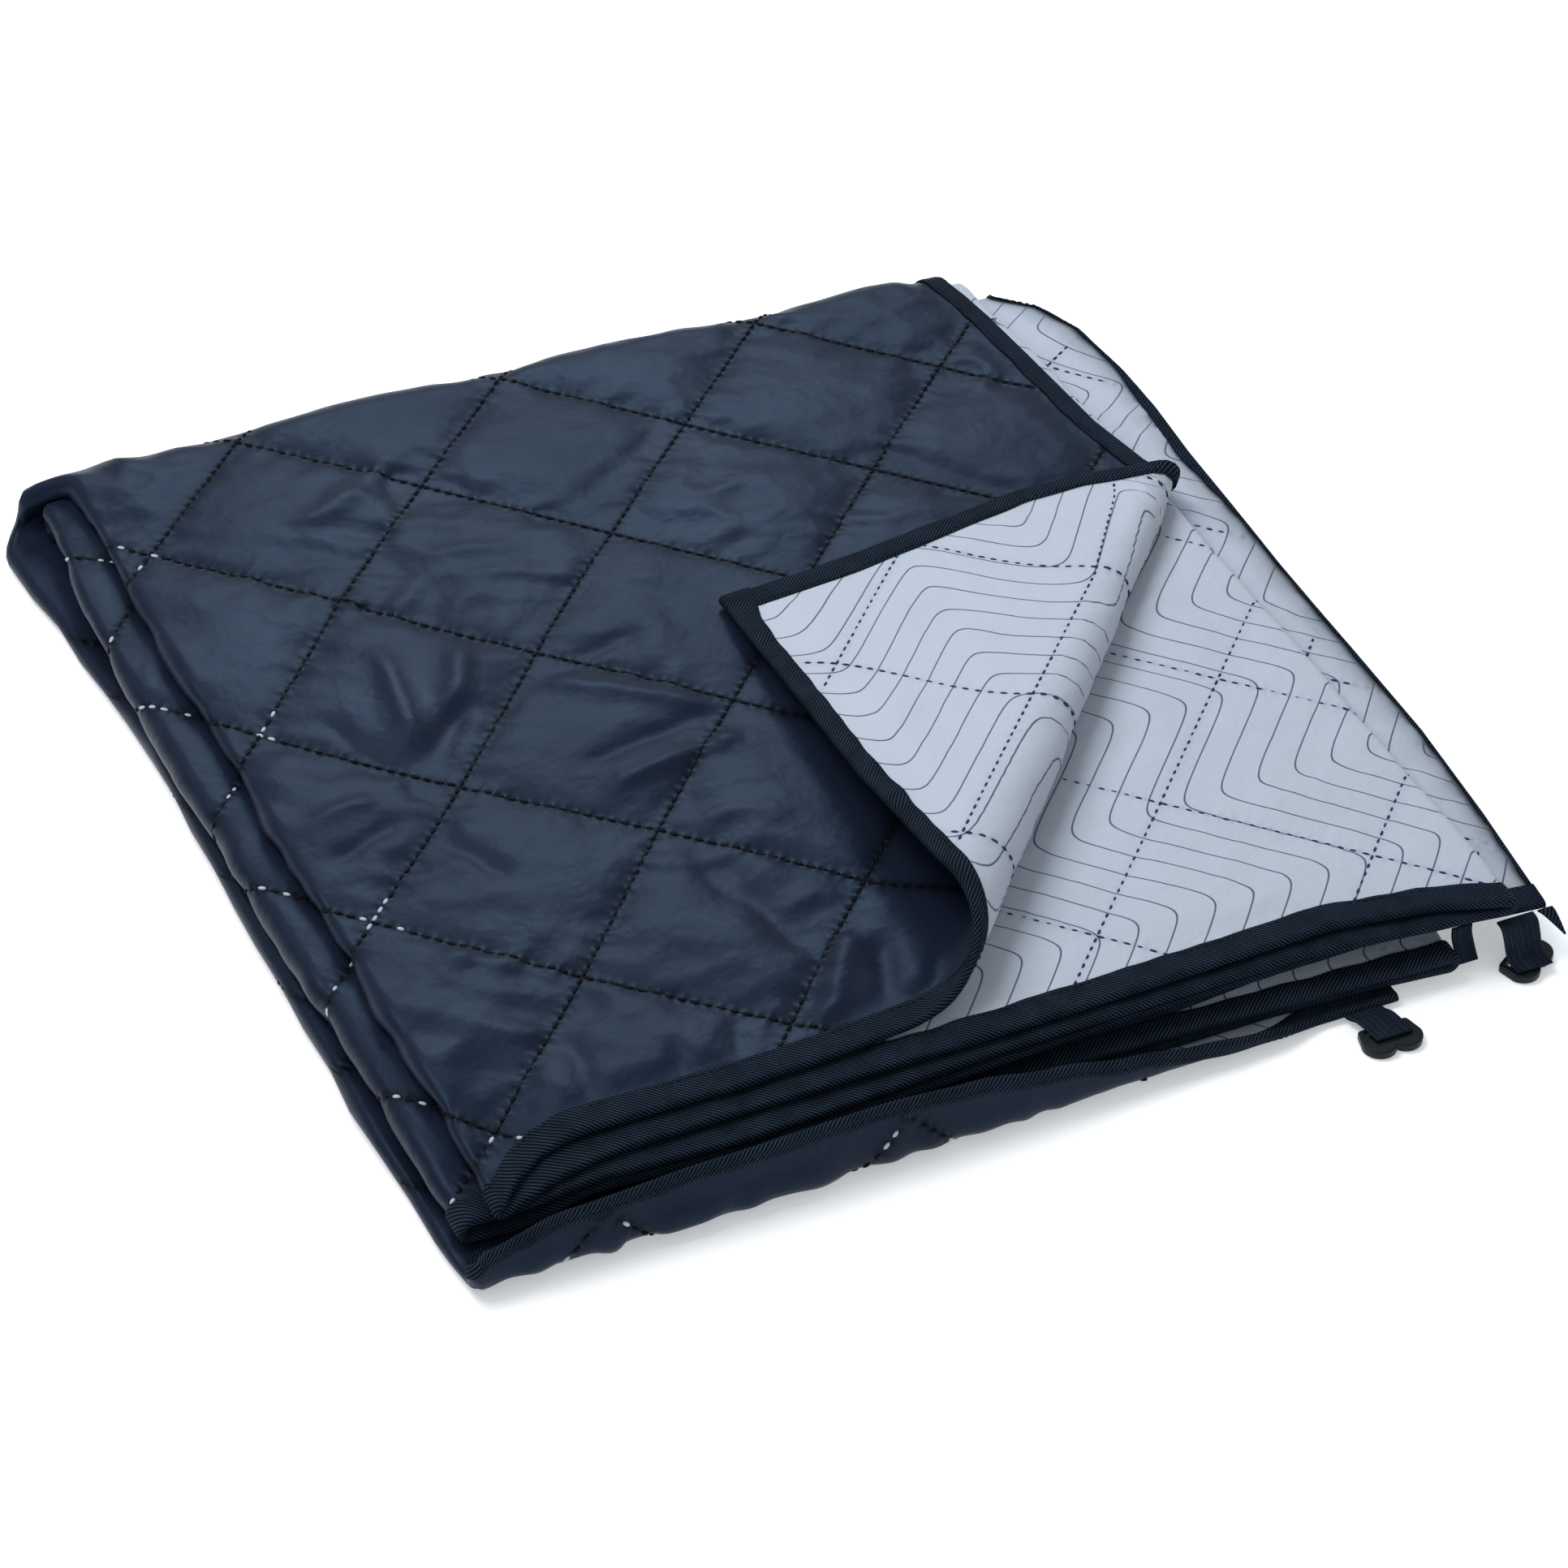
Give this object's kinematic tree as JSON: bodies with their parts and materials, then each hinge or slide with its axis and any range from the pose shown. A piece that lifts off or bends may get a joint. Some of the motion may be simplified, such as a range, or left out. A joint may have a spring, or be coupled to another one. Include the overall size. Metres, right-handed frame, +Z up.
{
  "type": "folded tent carpet",
  "caption": "Quilted tent floor carpet folded to a flat bundle, bound edges, one corner turned back, elastic straps with flat moulded hooks along its front.",
  "frame": {"origin": "point of the flat underside on the floor, under the middle of the bundle", "axes": "+Z up from the floor, +X along the front edge, +Y towards the fold at the back"},
  "size_m": [0.561, 0.5886, 0.0785],
  "materials": {
    "quilted_cloth": "satin",
    "binding_tape": "matte",
    "elastic": "matte",
    "hook_plastic": "satin"
  },
  "bodies": {
    "root": {"quilted_sheet": "quilted_cloth", "binding_front_upper": "binding_tape", "binding_front_lower": "binding_tape", "binding_side_outer": "binding_tape", "binding_side_inner": "binding_tape", "binding_loose_end": "binding_tape", "strap_front": "elastic", "strap_corner": "elastic", "strap_short": "elastic", "hook_front": "hook_plastic", "hook_corner": "hook_plastic"}
  },
  "joints": []
}
